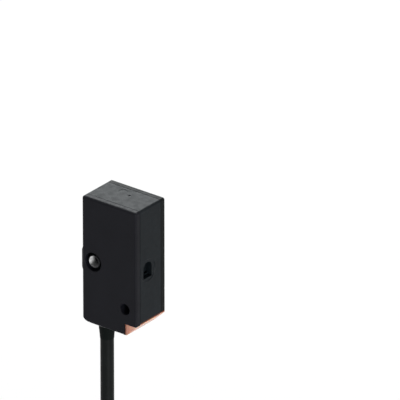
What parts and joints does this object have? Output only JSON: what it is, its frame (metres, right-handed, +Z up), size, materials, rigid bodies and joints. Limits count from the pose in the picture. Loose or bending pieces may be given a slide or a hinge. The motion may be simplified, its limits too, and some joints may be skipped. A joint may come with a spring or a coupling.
{
  "type": "photoelectric sensor head",
  "caption": "Small box-shaped photoelectric sensor head with two mounting holes, an amber indicator in the corner of its foot and a coiled cable with a connector.",
  "frame": {"origin": "middle of the flat rear face, which lies against what the head is screwed to", "axes": "+Z up, away from the cable; +Y from the rear face to the front, the way the light leaves; +X towards the side with the arched pocket"},
  "size_m": [0.0666, 0.022, 0.1559],
  "materials": {
    "cover_plastic": "fine-grained",
    "case_plastic": "fine-grained",
    "window_red": "polished, translucent",
    "seal_rubber": "matt",
    "sleeve_metal": "turned, nickel plated",
    "guide_amber": "translucent",
    "board_green": "solder resist",
    "can_metal": "tinned sheet",
    "chip_black": "moulded",
    "ceramic": "ceramic",
    "led_white": "moulded",
    "holder_black": "moulded",
    "diode_metal": "turned, gold plated",
    "clear_optic": "polished",
    "filter_film": "film",
    "jacket": "satin",
    "brown": "satin",
    "blue": "satin",
    "black": "satin",
    "white": "satin",
    "tie_nylon": "satin",
    "plug_plastic": "fine-grained",
    "insert_plastic": "satin",
    "contact_metal": "gold plated"
  },
  "bodies": {
    "root": {"rear_cover": "cover_plastic", "main_case": "case_plastic", "front_cover": "cover_plastic", "front_window": "window_red", "window_gasket": "seal_rubber", "case_gasket": "seal_rubber", "upper_hole_sleeve": "sleeve_metal", "indicator_light_guide": "guide_amber", "indicator_led": "led_white", "main_board": "board_green", "shield_can": "can_metal", "amplifier_chip": "chip_black", "driver_chip": "chip_black", "chip_parts": "ceramic", "optics_holder": "holder_black", "diode_mount": "diode_metal", "laser_diode": "diode_metal", "line_lens": "clear_optic", "collimator_lens": "clear_optic", "receiver_lens": "clear_optic", "polarising_filter": "filter_film", "slit_mask": "can_metal", "photodiode": "chip_black", "cable_boot": "jacket", "cable_clamp": "can_metal", "core_brown": "brown", "core_blue": "blue", "core_black": "black", "core_white": "white", "cable": "jacket", "cable_coil": "jacket", "cable_tail": "jacket", "coil_ties": "tie_nylon", "plug_grip": "plug_plastic", "plug_insert": "insert_plastic", "plug_contacts": "contact_metal"}
  },
  "joints": []
}
